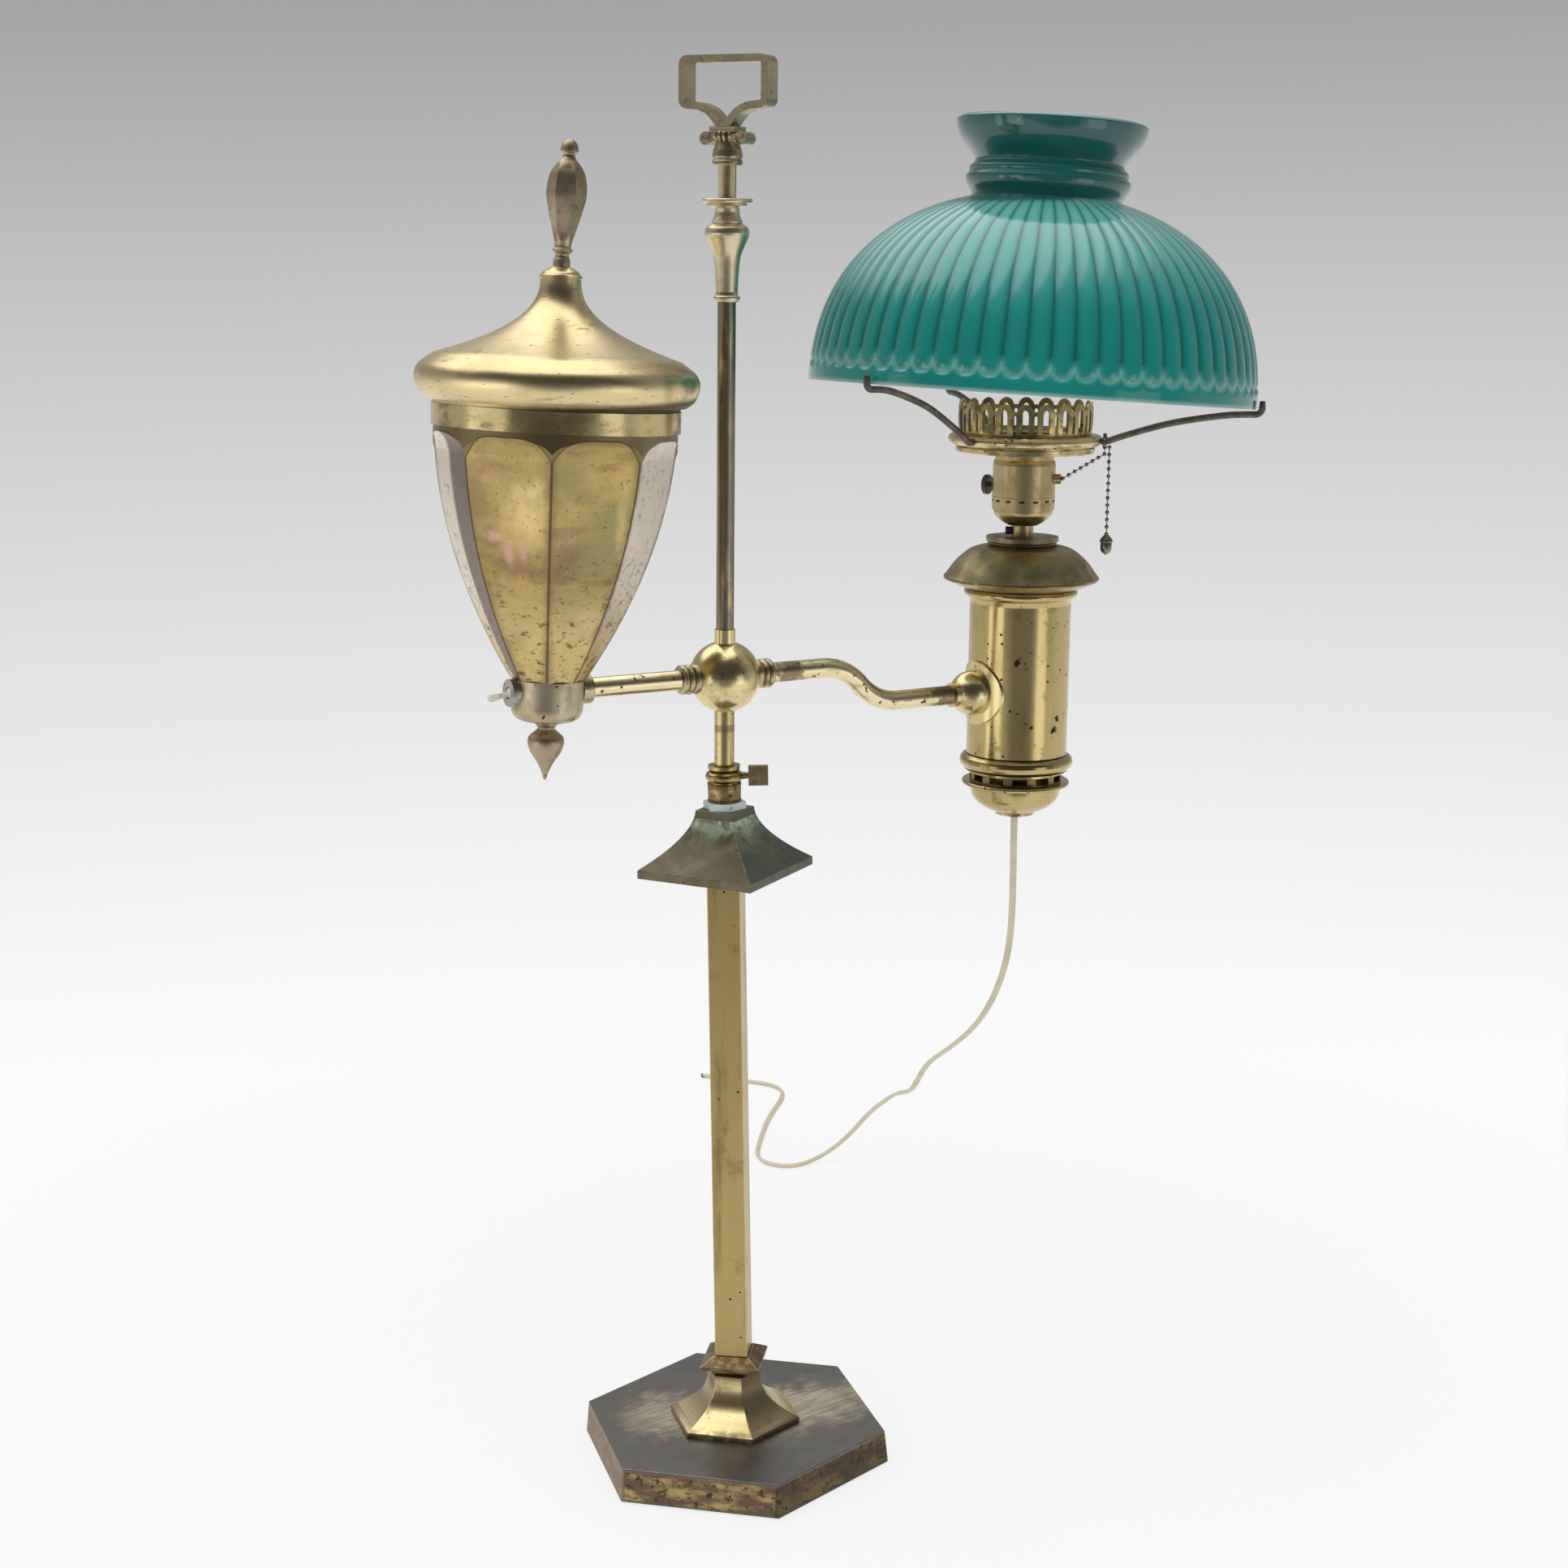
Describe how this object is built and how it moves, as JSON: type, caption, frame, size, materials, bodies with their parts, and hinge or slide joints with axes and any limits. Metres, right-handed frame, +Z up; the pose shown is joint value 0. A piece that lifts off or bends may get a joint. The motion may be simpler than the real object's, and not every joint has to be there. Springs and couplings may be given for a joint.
{
  "type": "student lamp",
  "caption": "Student lamp with a hexagonal base, a post that slides and swings, an eight-sided font with a lift-off lid, and a burner with bulb socket, gallery and dome shade.",
  "frame": {"origin": "centre of the hexagonal base, on the table", "axes": "+Z up, +X from the post towards the burner, +Y to the left when looking along +X"},
  "size_m": [0.5029, 0.7132, 0.7799],
  "materials": {
    "brass": "worn satin",
    "dark_brass": "brown patina over brass",
    "bronze": "dark bronze patina with verdigris",
    "base_bronze": "dark plating worn through at the edges",
    "verdigris": "pale blue-white corrosion",
    "iron": "rough",
    "felt": "napped",
    "dark_wire": "dark tarnish",
    "cream_cord": "smooth, slightly yellowed",
    "black_fibre": "matte",
    "nickel": "dull plated",
    "white_bat": "smooth",
    "porcelain": "glazed",
    "card": "pressed card",
    "green_glass": "glossy cased glass, opaque, white inside"
  },
  "bodies": {
    "stand": {"base_shell": "base_bronze", "base_weight": "iron", "base_felt": "felt", "base_bolt": "iron", "foot_flare": "brass", "foot_collar": "dark_brass", "stem_tube": "brass", "stem_foot_plug": "iron", "stem_top_plug": "iron", "stem_cap": "bronze", "cap_nipple": "dark_brass", "cap_nut": "verdigris", "knurled_ferrule": "dark_brass"},
    "collar": {"clamp_collar": "brass"},
    "thumb": {"thumbscrew": "dark_brass"},
    "arms": {"post_tube": "brass", "arm_ball": "brass", "upper_rod": "dark_brass", "rod_baluster": "brass", "carry_handle": "dark_brass", "font_arm": "brass", "burner_arm": "brass", "arm_rings": "dark_brass", "font_arm_flange": "dark_brass", "burner_boss": "brass", "switch_leads": "cream_cord", "font_cup": "dark_brass", "font_stud": "iron", "font_drop": "dark_brass", "font_body": "brass", "font_band": "brass", "toggle_bushing": "nickel", "toggle_body": "black_fibre", "burner_tube": "brass", "drip_cap": "dark_brass", "cap_disc": "bronze", "burner_bead": "brass", "air_ring": "dark_brass", "drip_cup": "brass", "burner_pipe": "dark_brass", "cord_bush": "black_fibre", "socket_neck": "brass", "neck_screw": "black_fibre", "socket_cap": "brass", "socket_shell": "brass", "socket_liner": "card", "socket_core": "porcelain", "screw_shell": "nickel", "chain_feed": "dark_wire", "gallery_plate": "brass", "chimney_gallery": "brass", "shade_arms": "dark_wire", "cord": "cream_cord"},
    "toggle": {"toggle_lever": "white_bat"},
    "lid": {"lid_dome": "brass", "lid_finial": "dark_brass"},
    "knob": {"socket_knob": "black_fibre"},
    "pull": {"chain_drop": "dark_wire"},
    "shade": {"shade": "green_glass"}
  },
  "joints": [
    {"name": "swing", "type": "hinge", "parent": "stand", "child": "collar", "pos_m": [0, 0, 0.3991], "axis": [0, 0, 1], "continuous": true},
    {"name": "height", "type": "slide", "parent": "collar", "child": "arms", "axis": [0.0244, 0, 0.9997], "range_m": [-0.027, 0.06]},
    {"name": "thumb_turn", "type": "hinge", "parent": "collar", "child": "thumb", "pos_m": [0, 0, 0.3991], "axis": [0.8746, -0.4848, 0], "range_deg": [-30, 180]},
    {"name": "toggle_flip", "type": "hinge", "parent": "arms", "child": "toggle", "pos_m": [-0.12477, 0, 0.45808], "axis": [0, 1, 0], "range_deg": [0, 24]},
    {"name": "knob_turn", "type": "hinge", "parent": "arms", "child": "knob", "pos_m": [0.19912, 0, 0.54476], "axis": [-0.5149, 0.8572, 0.0126], "continuous": true},
    {"name": "chain_pull", "type": "slide", "parent": "arms", "child": "pull", "axis": [-0.0244, 0, -0.9997], "range_m": [0, 0.008], "stiffness_N_per_m": 300},
    {"name": "lid_lift", "type": "slide", "parent": "arms", "child": "lid", "axis": [0.0698, 0, 0.9976], "range_m": [0, 0.05]},
    {"name": "shade_lift", "type": "slide", "parent": "arms", "child": "shade", "axis": [0.0953, 0.0087, 0.9954], "range_m": [0, 0.06]}
  ]
}
